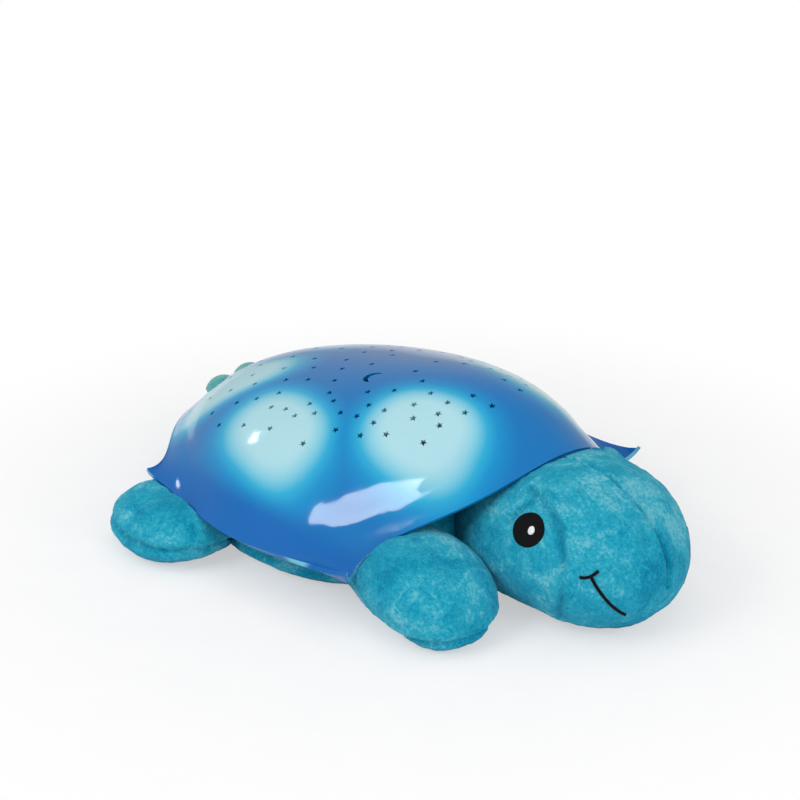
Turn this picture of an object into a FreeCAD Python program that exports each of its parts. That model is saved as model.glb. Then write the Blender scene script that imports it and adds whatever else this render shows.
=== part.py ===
import FreeCAD, Part

import math
import os

import Sketcher
from FreeCAD import Placement, Rotation, Vector

# Star night light projector: a stuffed turtle that carries a perforated plastic shell with a lamp
# under it. The frame: +X points to the head, +Y to the turtle's left, +Z up, and the origin lies on
# the flat belly that the turtle rests on. All sizes are in millimetres.

SIZES = {
    # The shell's outline and dome. The rim's four corners lie in one level plane.
    "corner_x": (78.7, "shell corner, from the middle to the front"),
    "corner_y": (104.5, "shell corner, from the middle to the side"),
    "rim_height": (33, "corner plane above the ground"),
    "front_reach": (116, "front edge of the rim on the centre line"),
    "front_lift": (38.9, "rise of the front edge over the neck"),
    "rear_reach": (147.2, "rear edge of the rim on the centre line"),
    "rear_drop": (5.4, "fall of the rear edge below the corner plane"),
    "front_round": (1.76, "roundness of the front edge; more is sharper"),
    "rear_round": (1.3, "roundness of the rear edge; more is sharper"),
    "side_bulge": (8.8, "outward bow of each side edge"),
    "bulge_focus": (2.7, "how much the bow gathers at the middle of the side"),
    "side_drop": (7.5, "fall of each side edge below the corner plane"),
    "drop_focus": (0.5, "how much the fall gathers at the middle of the side"),
    "front_waist": (26.5, "hollow in the front edge beside each corner"),
    "rear_waist": (10.9, "hollow in the rear edge beside each corner"),
    "tip_reach": (5.7, "how far each front corner draws forward into a tip"),
    "tip_rise": (16.5, "dip in the front edge that lets each corner flick up"),
    "fold_depth": (3.2, "depth of the fold between dome and brim"),
    "fold_place": (0.17, "where the fold lies, as a share of the dome's bowl"),
    "fold_width": (0.05, "half width of the fold, as a share of the bowl"),
    "crown": (51.6, "top of the dome above the corner plane"),
    "dome_fullness": (0.82, "how full the dome is between rim and crown"),
    "rim_flare": (0.29, "how far the skirt flattens towards the rim"),
    "shell_wall": (2.2, "shell thickness"),
    "shell_gap": (0.6, "clearance under the shell"),
    "rim_gap": (3, "how far the stuffing keeps clear outside the rim"),
    # The light holes.
    "star_radius": (2.1, "outer radius of a star hole"),
    "star_waist": (0.46, "inner radius of a star hole as a share of the outer"),
    "moon_radius": (5.2, "outer radius of the crescent hole"),
    "moon_bite": (0.86, "inner arc of the crescent as a share of the outer"),
    "moon_shift": (2.6, "offset of the crescent's inner arc"),
    "left_shift": (0.025, "how far back the left side's holes lie, as a share of the half length"),
    # The base tub, an oval that carries the electronics and the shell.
    "tub_x": (-35, "tub centre"),
    "tub_length": (216, "tub outside length"),
    "tub_width": (140, "tub outside width"),
    "tub_floor_height": (8.4, "underside of the tub floor above the ground"),
    "tub_wall": (2, "tub wall and floor thickness"),
    "tub_rim_height": (44, "top of the tub wall above the ground"),
    "flange_height": (16, "underside of the fabric flange"),
    "flange_thickness": (2, "flange and clamp ring thickness"),
    "flange_width": (4, "flange width"),
    "lip_thickness": (1.7, "stitched fabric lip between flange and ring"),
    "seat_gap": (0.15, "clearance between seated pieces"),
    "soft_gap": (0.3, "clearance between stuffed pieces and hard pieces"),
    "ring_screw_count": (6, "clamp ring screws"),
    "ring_screw_radius": (0.9, "clamp ring screw shank"),
    "ring_screw_head": (1.7, "clamp ring screw head radius"),
    "small_head_height": (1.3, "head height of the small screws"),
    "pilot_gap": (0.05, "radial clearance of a screw in its pilot hole"),
    # The four posts that hold the shell.
    "post_front_x": (42.5, "front posts"),
    "post_rear_x": (-104, "rear posts"),
    "post_y": (40, "posts from the centre line"),
    "post_radius": (3.4, "shell post"),
    "post_foot": (24, "lower end of the shell posts"),
    "socket_radius": (4.4, "tub socket around a shell screw"),
    "screw_radius": (1.2, "shell screw shank"),
    "screw_head_radius": (2.6, "shell screw head"),
    "screw_head_height": (1.8, "shell screw head height"),
    "screw_bite": (9, "screw length inside the post"),
    "recess_depth": (5, "counterbore under each socket"),
    "hole_gap": (0.3, "radial clearance of a screw in a through hole"),
    # The three buttons on the rear of the shell.
    "button_reach": (126.5, "middle button behind the origin"),
    "button_pitch": (20.6, "distance between buttons"),
    "button_radius": (8.4, "button cap radius"),
    "cap_band": (0.6, "straight part of a cap above the shell"),
    "button_gap": (0.35, "clearance of a cap in the shell"),
    "button_rise": (4.6, "top of a cap above the shell"),
    "button_collar": (9.7, "radius of the collar that keeps a cap in"),
    "collar_depth": (5.4, "top of the collar below the shell's outer face"),
    "collar_thickness": (1.5, "collar thickness"),
    "board_room": (0.7, "room around the button board in tub and stuffing"),
    "stem_radius": (2, "button stem"),
    "plunger_depth": (10, "top of the switch plunger below the shell's outer face"),
    "plunger_length": (2.6, "switch plunger"),
    "plunger_radius": (1.6, "switch plunger radius"),
    "plunger_gap": (0.1, "clearance of a plunger in its switch"),
    "switch_depth": (11.4, "top of the switch body below the shell's outer face"),
    "switch_side": (6.2, "switch body side"),
    "switch_height": (3.5, "switch body height"),
    "press_travel": (1.2, "button travel"),
    "press_room": (0.3, "room under a plunger that is pressed home"),
    "key_board_width": (12, "button board width"),
    "key_board_length": (58.6, "button board length"),
    "board_thickness": (1.6, "circuit board thickness"),
    "key_post_radius": (3, "post under the button board"),
    "key_screw_pitch": (52.2, "distance between the button board's screws"),
    # The lamp.
    "lamp_x": (-18, "lamp centre"),
    "lamp_board_radius": (18, "lamp board radius"),
    "lamp_board_height": (28, "underside of the lamp board"),
    "lamp_post_circle": (14, "radius of the circle of lamp board posts"),
    "lamp_post_radius": (3, "post under the lamp board"),
    "board_screw_radius": (0.9, "board screw shank"),
    "board_screw_head": (1.9, "board screw head radius"),
    "board_screw_length": (6, "board screw shank length"),
    "cable_width": (8, "ribbon cable width"),
    "cable_thickness": (0.6, "ribbon cable thickness"),
    "cable_gap": (0.1, "ribbon cable from the boards"),
    "led_radius": (2.5, "light emitting diode radius"),
    "led_height": (5.8, "diode height below its dome"),
    "led_circle": (3.6, "radius of the circle of diodes"),
    "cup_radius": (8.2, "light cup inside radius at its foot"),
    "cup_mouth": (11, "light cup inside radius at its mouth"),
    "cup_height": (9, "light cup height"),
    "cup_wall": (1, "light cup wall"),
    "chip_length": (7, "timer chip length"),
    "chip_width": (4, "timer chip width"),
    "chip_height": (1.5, "timer chip height"),
    # The battery bay with three AAA cells, its door and its spring contacts.
    "bay_rear": (-95, "rear end of the battery bay"),
    "cell_radius": (5.25, "AAA cell radius"),
    "cell_length": (43.7, "AAA cell length without its nub"),
    "nub_radius": (1.9, "cell nub radius"),
    "nub_height": (0.8, "cell nub height"),
    "cell_gap": (0.5, "clearance between cells"),
    "contact_thickness": (0.5, "contact plate thickness"),
    "spring_length": (4, "contact spring length"),
    "spring_foot": (3.6, "contact spring radius at its plate"),
    "spring_tip": (2.2, "contact spring radius at the cell"),
    "spring_wire": (0.6, "contact spring wall"),
    "bay_height": (12, "bay height above the tub's underside"),
    "bay_wall": (1.6, "bay wall"),
    "door_gap": (0.2, "door below the tub"),
    "door_thickness": (2, "battery door thickness"),
    "door_lap": (3, "door overlap around the bay"),
    "door_nose": (9, "door overlap in front of the bay, with the screw"),
    "trunnion_radius": (1.1, "door hinge pin"),
    "trunnion_length": (2.6, "door hinge pin length in its ear"),
    "trunnion_gap": (0.06, "running clearance of the hinge pins"),
    "ear_thickness": (3, "hinge ear thickness"),
    "door_screw_radius": (1.2, "door screw shank"),
    "door_screw_head": (2.6, "door screw head radius"),
    "door_screw_length": (7, "door screw length above the door"),
    "rib_pitch": (4, "distance between the door's finger ribs"),
    "rib_length": (20, "finger rib length"),
    "rib_width": (1.4, "finger rib width"),
    "rib_height": (0.6, "finger rib height"),
    "boss_wall": (1.6, "wall of the boss that takes the door screw"),
    "boss_cap": (1.5, "end of the boss over the door screw's hole"),
    "ear_round": (1.4, "hinge ear around the pin"),
    "plate_share": (1.7, "side of a contact plate as a share of the cell's radius"),
    "door_corner": (5, "round corners of the door's free end"),
    "door_screw_swing": (0.9, "room for the door screw's tip as the door swings"),
    # The fabric flap under the belly.
    "flap_rear": (-108, "sewn edge of the flap"),
    "flap_length": (92, "flap length"),
    "flap_width": (66, "flap width"),
    "flap_height": (0.4, "flap above the ground"),
    "flap_thickness": (3, "flap thickness"),
    "flap_corner": (10, "round corners of the flap's free edge"),
    "strip_length": (10, "hook strip, along the flap"),
    "strip_width": (44, "hook strip, across the flap"),
    "strip_thickness": (0.8, "hook strip thickness"),
    "strip_inset": (2, "hook strip from the flap's free edge"),
    # The stuffed body.
    "body_x": (-32, "middle of the stuffed body"),
    "body_length": (242, "stuffed body length"),
    "body_width": (188, "stuffed body width"),
    "front_fullness": (0.77, "how full the body's front corners are; a plain oval has 0.71"),
    "rear_fullness": (0.67, "how full the body's rear corners are"),
    "flap_clearance": (0.4, "room around the flap in its recess"),
    "opening_room": (3, "room in front of the battery door in the belly's opening"),
}

doc = FreeCAD.newDocument("StarNightLight")
sheet = doc.addObject("Spreadsheet::Sheet", "Sizes")
for row, (alias, (value, note)) in enumerate(SIZES.items(), 1):
    sheet.set("A%d" % row, alias)
    sheet.set("B%d" % row, str(value))
    sheet.set("C%d" % row, note)
    sheet.setAlias("B%d" % row, alias)
doc.recompute()

UP = Vector(0, 0, 1)
FAR = 200
SUBPARTS = []


def size(name):
    return float(sheet.get(name))


def keep(thing, label):
    """Give a document object its own name and list it as a sub-part."""
    thing.Label = label
    SUBPARTS.append(thing)
    return thing


def feature(label, shape, placement=None):
    """A sub-part whose form only code can give."""
    thing = doc.addObject("Part::Feature", label)
    thing.Shape = shape
    thing.Placement = placement or Placement()
    return keep(thing, label)


def bind(thing, **formulas):
    """Tie properties of a document object to the sheet."""
    for name, formula in formulas.items():
        thing.setExpression(name.replace("__", "."), formula)
    return thing


def primitive(kind, name, **formulas):
    return bind(doc.addObject("Part::" + kind, name), **formulas)


def boolean(kind, name, base, tool):
    thing = doc.addObject("Part::" + kind, name)
    thing.Base = base
    thing.Tool = tool
    return thing


def fuse(name, pieces):
    thing = doc.addObject("Part::MultiFuse", name)
    thing.Shapes = pieces
    return thing


def group(name, pieces):
    thing = doc.addObject("Part::Compound", name)
    thing.Links = pieces
    return thing


def origin_plane(body, role):
    return next(item for item in body.Origin.OriginFeatures if item.Role == role)


def new_sketch(body, name, role="XY_Plane"):
    sketch = body.newObject("Sketcher::SketchObject", name)
    sketch.AttachmentSupport = [(origin_plane(body, role), "")]
    sketch.MapMode = "FlatFace"
    return sketch


def circle_sketch(body, name, radius, away=None):
    """A circle about the body's origin, or on its X axis at a distance."""
    sketch = new_sketch(body, name)
    sketch.addGeometry(Part.Circle(Vector(5 if away else 0, 0, 0), UP, 1), False)
    if away:
        sketch.addConstraint(Sketcher.Constraint("PointOnObject", 0, 3, -1))
        far = sketch.addConstraint(Sketcher.Constraint("DistanceX", -1, 1, 0, 3, 5))
        sketch.setExpression("Constraints[%d]" % far, away)
    else:
        sketch.addConstraint(Sketcher.Constraint("Coincident", 0, 3, -1, 1))
    wide = sketch.addConstraint(Sketcher.Constraint("Radius", 0, 1))
    sketch.setExpression("Constraints[%d]" % wide, radius)
    return sketch


def box_sketch(body, name, length, width):
    """A rectangle centred on the body's origin."""
    sketch = new_sketch(body, name)
    corners = [Vector(-9, -8, 0), Vector(9, -8, 0), Vector(9, 8, 0), Vector(-9, 8, 0)]
    for i in range(4):
        sketch.addGeometry(Part.LineSegment(corners[i], corners[(i + 1) % 4]), False)
    for i in range(4):
        sketch.addConstraint(Sketcher.Constraint("Coincident", i, 2, (i + 1) % 4, 1))
        flat = "Horizontal" if i % 2 == 0 else "Vertical"
        sketch.addConstraint(Sketcher.Constraint(flat, i))
    sketch.addConstraint(Sketcher.Constraint("Symmetric", 0, 1, 2, 1, -1, 1))
    long = sketch.addConstraint(Sketcher.Constraint("DistanceX", 0, 1, 0, 2, 18))
    sketch.setExpression("Constraints[%d]" % long, length)
    wide = sketch.addConstraint(Sketcher.Constraint("DistanceY", 1, 1, 1, 2, 16))
    sketch.setExpression("Constraints[%d]" % wide, width)
    return sketch


def pad(body, sketch, name, length):
    thing = body.newObject("PartDesign::Pad", name)
    thing.Profile = sketch
    return bind(thing, Length=length)


def drill(body, sketch, name):
    """A through hole along the sketch's normal."""
    before = body.Tip.Shape.Volume
    thing = body.newObject("PartDesign::Pocket", name)
    thing.Profile = sketch
    thing.Type = 1
    thing.Reversed = True
    doc.recompute()
    if thing.Shape.Volume >= before:
        raise ValueError(name + " cuts nothing")
    return thing


def largest(shape):
    return max(shape.Solids, key=lambda solid: solid.Volume)


def cylinder(radius, low, high, x=0.0, y=0.0):
    return Part.makeCylinder(radius, high - low, Vector(x, y, low))


def block(low, high):
    return Part.makeBox(high[0] - low[0], high[1] - low[1], high[2] - low[2], Vector(*low))


# The shell's surface: u runs from -1 at the rear edge to 1 at the front edge, and w from -1 at the
# right edge to 1 at the left edge. The four edges are wavy, and the dome swells between them.

CORNER_X = size("corner_x")
CORNER_Y = size("corner_y")
RIM = size("rim_height")
WALL = size("shell_wall")


def end_edge(w, end, lift):
    """A point of the front edge, or of the rear edge seen mirrored: its reach and its height."""
    q = w * w
    arch = math.cos(math.pi * w / 2) ** 2
    waist = size(end + "_waist") * 4 * q * q * (1 - q)
    bow = (size(end + "_reach") - CORNER_X) * (1 - q) ** size(end + "_round")
    return CORNER_X + bow - waist, lift * arch


def swell(u, w):
    """The dome's share of its full height."""
    bowl = (1 - u * u) * (1 - w * w)
    full = size("dome_fullness")
    return ((1 + full) * bowl - full * bowl * bowl) * (1 - size("rim_flare") * (1 - bowl) ** 5)


def fold(u, w):
    """The shallow fold where the dome meets its brim, deepest towards the corners."""
    bowl = (1 - u * u) * (1 - w * w)
    across = (bowl - size("fold_place")) / size("fold_width")
    return size("fold_depth") * math.exp(-across * across) * (0.1 + u * u * w * w)


def tip(w):
    """Where along the front edge the dip beside each corner lies, at most about a half."""
    q = w * w
    return 8 * q ** 5 * (1 - q)


def shell_point(u, w):
    w = max(-1, min(1, w))
    front_x, front_z = end_edge(w, "front", size("front_lift"))
    rear_x, rear_z = end_edge(w, "rear", -size("rear_drop"))
    ahead = max((1 + u) / 2, 0)
    behind = max(1 - ahead, 0)
    middle = (size("front_lift") - size("rear_drop")) * 0.5 ** 1.5
    side = max(1 - u * u, 0)
    height = rear_z * behind ** 1.5 + front_z * ahead ** 1.5 - size("tip_rise") * tip(w) * ahead ** 4
    height -= size("side_drop") * side ** size("drop_focus") * w * w
    height += (size("crown") - middle) * swell(u, w) - fold(u, w)
    return Vector((front_x + size("tip_reach") * tip(w)) * ahead - rear_x * behind,
                  (CORNER_Y + size("side_bulge") * side ** size("bulge_focus")) * w,
                  RIM + height)


def shell_normal(u, w):
    step = 0.001
    along = shell_point(u + step, w) - shell_point(u - step, w)
    across = shell_point(u, w + step) - shell_point(u, w - step)
    return along.cross(across).normalize()


PATCH = 27
# The grid's lines stand closer together towards the rim, where the fold and the tips are.
STEPS = [math.sin(math.pi / 2 * (2 * i / (PATCH - 1) - 1)) for i in range(PATCH)]


def shell_face(depth, brim=0.0):
    """The shell's surface, set in by depth along its own normal, and carried past the rim by brim."""
    near = 0.99
    grid = []
    for u in STEPS:
        line = []
        for w in STEPS:
            normal = shell_normal(max(-near, min(near, u)), max(-near, min(near, w)))
            line.append(shell_point(u, w) - normal * depth)
        grid.append(line)
    if brim:
        for line in grid:
            line.insert(0, line[0] + (line[0] - line[1]).normalize() * brim)
            line.append(line[-1] + (line[-1] - line[-2]).normalize() * brim)
        first = [a + (a - b).normalize() * brim for a, b in zip(grid[0], grid[1])]
        last = [a + (a - b).normalize() * brim for a, b in zip(grid[-1], grid[-2])]
        grid = [first] + grid + [last]
    surface = Part.BSplineSurface()
    surface.interpolate(grid)
    return surface.toShape()


def under_shell(depth):
    return shell_face(depth).extrude(UP * -FAR)


def over_shell(depth, brim=0.0):
    return shell_face(depth, brim).extrude(UP * FAR)


def shell_skin():
    """The plain shell: outer and inner surface joined along the four edges."""
    outer = shell_face(0)
    inner = shell_face(WALL)
    edges = [Part.makeRuledSurface(a, b) for a, b in zip(outer.Edges, inner.Edges)]
    skin = Part.makeShell([outer, inner] + edges)
    skin.sewShape()
    solid = Part.makeSolid(skin)
    if solid.Volume < 0:
        solid.reverse()
    return solid


def on_shell(u, w, depth=0.0):
    """A frame on the shell's outer face: Z out of it, X as near to the front as it can be."""
    normal = shell_normal(u, w)
    along = (shell_point(u + 0.01, w) - shell_point(u - 0.01, w)).normalize()
    across = normal.cross(along)
    turn = Rotation(along, across, normal, "ZXY")
    return Placement(shell_point(u, w) - normal * depth, turn)


# The light holes. Each pair is a hole's u and w on the turtle's right side, in loose chains, and
# the left side repeats them a little further back.

STARS = [
    (-0.25, -0.65), (-0.04, -0.63), (0.04, -0.54), (-0.05, -0.52), (-0.15, -0.53), (0.13, -0.50),
    (0.05, -0.46), (0.23, -0.64), (-0.30, -0.50), (-0.19, -0.44), (0.32, -0.54), (0.45, -0.52),
    (0.25, -0.46), (0.34, -0.45), (0.15, -0.41), (0.08, -0.37), (0.44, -0.45), (0.54, -0.47),
    (0.42, -0.38), (0.33, -0.38), (0.69, -0.42), (0.56, -0.36), (0.67, -0.33), (0.62, -0.29),
    (0.69, -0.22), (0.60, -0.22), (0.50, -0.30), (0.50, -0.21), (0.73, -0.11), (0.64, -0.12),
    (0.40, -0.15), (0.35, -0.26), (0.30, -0.08), (0.25, -0.31), (0.02, -0.28), (-0.04, -0.17),
    (0.05, -0.08), (-0.12, -0.31), (-0.11, -0.07), (-0.19, -0.20), (-0.24, -0.34), (-0.28, -0.10),
    (-0.35, -0.24), (-0.43, -0.09), (-0.41, -0.40), (-0.50, -0.32), (-0.55, -0.20), (-0.43, -0.54),
    (-0.63, -0.11), (-0.69, -0.29), (-0.56, -0.45), (-0.72, -0.47), (-0.61, -0.60), (-0.48, -0.67),
]
MOON = (0.17, -0.2)


def star_prism(u, w, turn):
    """A five-pointed prism across the shell wall."""
    outer = size("star_radius")
    points = []
    for i in range(10):
        reach = outer if i % 2 == 0 else outer * size("star_waist")
        angle = math.radians(36 * i + turn)
        points.append(Vector(reach * math.cos(angle), reach * math.sin(angle), 0))
    prism = Part.Face(Part.makePolygon(points + points[:1])).extrude(UP * (3 * WALL))
    prism.Placement = on_shell(u, w, 2 * WALL)
    return prism


def moon_prism():
    """A crescent prism: one disc less another that is shifted sideways."""
    radius = size("moon_radius")
    full = Part.makeCylinder(radius, 3 * WALL)
    bite = Part.makeCylinder(radius * size("moon_bite"), 3 * WALL, Vector(size("moon_shift"), 0, 0))
    prism = full.cut(bite)
    prism.Placement = on_shell(MOON[0], MOON[1], 2 * WALL)
    return prism


def light_holes():
    prisms = [moon_prism()]
    for i, (u, w) in enumerate(STARS):
        prisms.append(star_prism(u, w, 23 * i))
        prisms.append(star_prism(u - size("left_shift"), -w, 41 * i))
    return Part.makeCompound(prisms)


# The buttons share one direction, the shell's normal at the middle button. Their frame has Z along
# it, X up the shell and Y to the turtle's left.

FULL_REACH = size("front_reach") + size("rear_reach")
BUTTON_U = 2 * (size("rear_reach") - size("button_reach")) / FULL_REACH - 1
BUTTON_NORMAL = shell_normal(BUTTON_U, 0)
BUTTON_TILT = math.degrees(math.atan2(-BUTTON_NORMAL.x, BUTTON_NORMAL.z))
BUTTON_TURN = Rotation(Vector(0, 1, 0), -BUTTON_TILT)
BUTTON_ORIGIN = shell_point(BUTTON_U, 0)
SIDES = {-1: "right", 0: "middle", 1: "left"}


def button_frame(side):
    """The frame of one button on the shell's outer face."""
    start = BUTTON_ORIGIN + Vector(0, side * size("button_pitch"), 0)
    line = Part.makeLine(start - BUTTON_NORMAL * 20, start + BUTTON_NORMAL * 20)
    hit = shell_face(0).distToShape(line)[1][0][1]
    return Placement(hit, BUTTON_TURN)


BUTTON_FRAMES = {side: button_frame(side) for side in SIDES}
# The side buttons sit a little lower on the dome, so their stems are that much shorter.
SINK = {side: (BUTTON_FRAMES[0].Base - frame.Base).dot(BUTTON_NORMAL)
        for side, frame in BUTTON_FRAMES.items()}


def in_button_frame(shape, side=0):
    shape.Placement = BUTTON_FRAMES[side]
    return shape


def button_holes():
    radius = size("button_radius") + size("button_gap")
    return [in_button_frame(cylinder(radius, -3 * WALL, 3 * WALL), side) for side in SIDES]


def button_room():
    """The space that the caps, switches and their board need inside the tub and the stuffing."""
    deep = size("plunger_depth") + 2
    room = [in_button_frame(cylinder(size("button_collar") + 1, -deep, 6), side) for side in SIDES]
    wide = size("key_board_width") / 2 + size("board_room")
    long = size("key_board_length") / 2 + size("board_room")
    low = -size("switch_depth") - size("switch_height") - size("board_thickness")
    room.append(in_button_frame(block((-wide, -long, low), (wide, long, -deep + 1))))
    return room


# Hard pieces.

TUB_FLOOR = size("tub_floor_height")
TUB_TOP = TUB_FLOOR + size("tub_wall")
POSTS = [(x, y) for x in (size("post_front_x"), size("post_rear_x"))
         for y in (-size("post_y"), size("post_y"))]
LAMP_X = size("lamp_x")


def oval(grow, low, high):
    """An upright oval prism that follows the tub's outline."""
    half_length = size("tub_length") / 2 + grow
    half_width = size("tub_width") / 2 + grow
    curve = Part.Ellipse(Vector(size("tub_x"), 0, low), half_length, half_width)
    return Part.Face(Part.Wire(curve.toShape())).extrude(UP * (high - low))


def oval_point(grow, turn):
    return Vector(size("tub_x") + (size("tub_length") / 2 + grow) * math.cos(turn),
                  (size("tub_width") / 2 + grow) * math.sin(turn), 0)


def shell_cover():
    radius = size("post_radius")
    posts = [cylinder(radius, size("post_foot"), FAR, x, y) for x, y in POSTS]
    posts = Part.makeCompound(posts).common(under_shell(WALL / 2))
    solid = shell_skin().cut(light_holes())
    solid = solid.cut(Part.makeCompound(button_holes()))
    solid = solid.fuse(posts.Solids)
    pilot = size("screw_radius") + size("pilot_gap")
    deep = size("post_foot") + size("screw_bite") + 1
    for x, y in POSTS:
        solid = solid.cut(cylinder(pilot, size("post_foot") - 1, deep, x, y))
    return feature("shell_cover", largest(solid.removeSplitter()))


BAY_REAR = size("bay_rear")
CELL_PITCH = 2 * size("cell_radius") + size("cell_gap")
BAY_LENGTH = size("cell_length") + size("nub_height") + size("spring_length") + 2 * size("contact_thickness")
BAY_FRONT = BAY_REAR + BAY_LENGTH
BAY_HALF = 1.5 * CELL_PITCH + size("cell_gap") / 2
BAY_TOP = TUB_FLOOR + size("bay_height")
DOOR_TOP = TUB_FLOOR - size("door_gap")
DOOR_LOW = DOOR_TOP - size("door_thickness")
DOOR_REAR = BAY_REAR - size("door_lap")
DOOR_FRONT = BAY_FRONT + size("door_nose")
DOOR_HALF = BAY_HALF + size("door_lap")
AXIS_X = DOOR_REAR - size("trunnion_radius") / 2
AXIS_Z = DOOR_TOP - size("trunnion_radius")
DOOR_SCREW_X = BAY_FRONT + size("door_nose") / 2
EAR_IN = DOOR_HALF + size("soft_gap")
LAMP_ANGLES = [math.radians(120 * i) for i in range(3)]
LAMP_POSTS = [(LAMP_X + size("lamp_post_circle") * math.cos(a), size("lamp_post_circle") * math.sin(a))
              for a in LAMP_ANGLES]
RING_TURNS = [2 * math.pi * (i + 0.5) / size("ring_screw_count") for i in range(int(size("ring_screw_count")))]
RING_SPOTS = [oval_point(size("flange_width") / 2 + 0.1, turn) for turn in RING_TURNS]
FLANGE_TOP = size("flange_height") + size("flange_thickness")
LIP_TOP = FLANGE_TOP + 2 * size("seat_gap") + size("lip_thickness")
RING_TOP = LIP_TOP + size("flange_thickness")


def key_posts():
    """Two upright posts whose tops are cut to the button board's slope."""
    top = -size("switch_depth") - size("switch_height") - size("board_thickness")
    over = in_button_frame(block((-FAR, -FAR, top), (FAR, FAR, FAR)))
    posts = []
    for side in (-1, 1):
        foot = BUTTON_FRAMES[0].multVec(Vector(0, side * size("key_screw_pitch") / 2, top))
        post = cylinder(size("key_post_radius"), TUB_FLOOR + 0.5, 60, foot.x, foot.y).cut(over)
        screw = cylinder(size("board_screw_radius") + size("pilot_gap"), top - size("board_screw_length"), top + 2,
                         0, side * size("key_screw_pitch") / 2)
        posts.append(post.cut(in_button_frame(screw)))
    return posts


def base_tub():
    below = under_shell(WALL + size("shell_gap"))
    wall = size("tub_wall")
    tub = oval(0, TUB_FLOOR, size("tub_rim_height")).cut(oval(-wall, TUB_TOP, FAR)).common(below)
    tub = tub.cut(Part.makeCompound(button_room()))
    tub = tub.fuse(oval(size("flange_width"), size("flange_height"), FLANGE_TOP).cut(
        oval(-0.5 * wall, 0, FAR)))
    bay_out = size("bay_wall")
    extras = [block((BAY_REAR - bay_out, -BAY_HALF - bay_out, TUB_FLOOR),
                    (BAY_FRONT + bay_out, BAY_HALF + bay_out, BAY_TOP + bay_out))]
    boss = size("door_screw_radius") + size("door_screw_swing") + size("boss_wall")
    extras.append(cylinder(boss, TUB_FLOOR, DOOR_TOP + size("door_screw_length") + 1 + size("boss_cap"), DOOR_SCREW_X))
    for x, y in POSTS:
        extras.append(cylinder(size("socket_radius"), TUB_FLOOR, size("post_foot") - size("seat_gap"), x, y))
    for x, y in LAMP_POSTS:
        extras.append(cylinder(size("lamp_post_radius"), TUB_FLOOR, size("lamp_board_height"), x, y))
    for side in (-1, 1):
        inner = side * EAR_IN
        outer = side * (EAR_IN + size("ear_thickness"))
        round_off = size("trunnion_radius") + size("ear_round")
        extras.append(block((AXIS_X - round_off, min(inner, outer), AXIS_Z - round_off),
                            (AXIS_X + round_off, max(inner, outer), TUB_FLOOR + 0.5)))
    tub = tub.fuse(extras + key_posts())
    cuts = [block((BAY_REAR, -BAY_HALF, TUB_FLOOR - 1), (BAY_FRONT, BAY_HALF, BAY_TOP))]
    swing = size("door_screw_radius") + size("door_screw_swing")
    cuts.append(cylinder(swing, TUB_FLOOR - 1, DOOR_TOP + size("door_screw_length") + 1, DOOR_SCREW_X))
    for x, y in POSTS:
        cuts.append(cylinder(size("screw_radius") + size("hole_gap"), 0, FAR, x, y))
        cuts.append(cylinder(size("screw_head_radius") + size("hole_gap"), 0,
                             TUB_FLOOR + size("recess_depth"), x, y))
    board_hole = size("board_screw_radius") + size("pilot_gap")
    for x, y in LAMP_POSTS:
        low = size("lamp_board_height") + size("board_thickness") - size("board_screw_length")
        cuts.append(cylinder(board_hole, low - 0.5, FAR, x, y))
    for spot in RING_SPOTS:
        cuts.append(cylinder(size("ring_screw_radius") + size("pilot_gap"), 0, FAR, spot.x, spot.y))
    pin = Part.makeCylinder(size("trunnion_radius") + size("trunnion_gap"), FAR,
                            Vector(AXIS_X, -FAR / 2, AXIS_Z), Vector(0, 1, 0))
    cuts.append(pin)
    tub = tub.cut(Part.makeCompound(cuts))
    return feature("base_tub", largest(tub))


def clamp_ring():
    """The oval ring that holds the fabric lip down on the tub's flange."""
    outer = primitive("Ellipse", "RingOuter",
                      MajorRadius="Sizes.tub_length / 2 + Sizes.flange_width",
                      MinorRadius="Sizes.tub_width / 2 + Sizes.flange_width")
    inner = primitive("Ellipse", "RingInner",
                      MajorRadius="Sizes.tub_length / 2 + Sizes.seat_gap",
                      MinorRadius="Sizes.tub_width / 2 + Sizes.seat_gap")
    slabs = []
    for curve, name in ((outer, "RingPlate"), (inner, "RingOpening")):
        slab = doc.addObject("Part::Extrusion", name)
        slab.Base = curve
        slab.Dir = UP
        slab.Solid = True
        slabs.append(bind(slab, LengthFwd="Sizes.flange_thickness"))
    plain = boolean("Cut", "RingPlain", slabs[0], slabs[1])
    holes = []
    for i, spot in enumerate(RING_SPOTS):
        hole = primitive("Cylinder", "RingHole%d" % i, Height="Sizes.flange_thickness",
                         Radius="Sizes.ring_screw_radius + 2 * Sizes.pilot_gap")
        hole.Placement = Placement(Vector(spot.x - size("tub_x"), spot.y, 0), Rotation())
        holes.append(hole)
    ring = boolean("Cut", "ClampRing", plain, fuse("RingHoles", holes))
    ring.Placement = Placement(Vector(size("tub_x"), 0, LIP_TOP), Rotation())
    bind(ring, Placement__Base__x="Sizes.tub_x",
         Placement__Base__z="Sizes.flange_height + 2 * Sizes.seat_gap + Sizes.lip_thickness"
                            " + Sizes.flange_thickness")
    return keep(ring, "clamp_ring")


def screw(name, head_radius, head_height, shank_radius, shank_length):
    """A pan head screw that points down from its head, built from formulas of the sheet."""
    head = primitive("Cylinder", name + "Head", Radius=head_radius, Height=head_height)
    shank = primitive("Cylinder", name + "Shank", Radius=shank_radius, Height=shank_length)
    bind(shank, Placement__Base__z="-(" + shank_length + ")")
    return fuse(name, [head, shank])


def screw_set(label, placements, *formulas):
    screws = []
    for i, placement in enumerate(placements):
        one = screw("%s_%d" % (label, i), *formulas)
        one.Placement = placement
        screws.append(one)
    return keep(group(label, screws), label)


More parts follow.
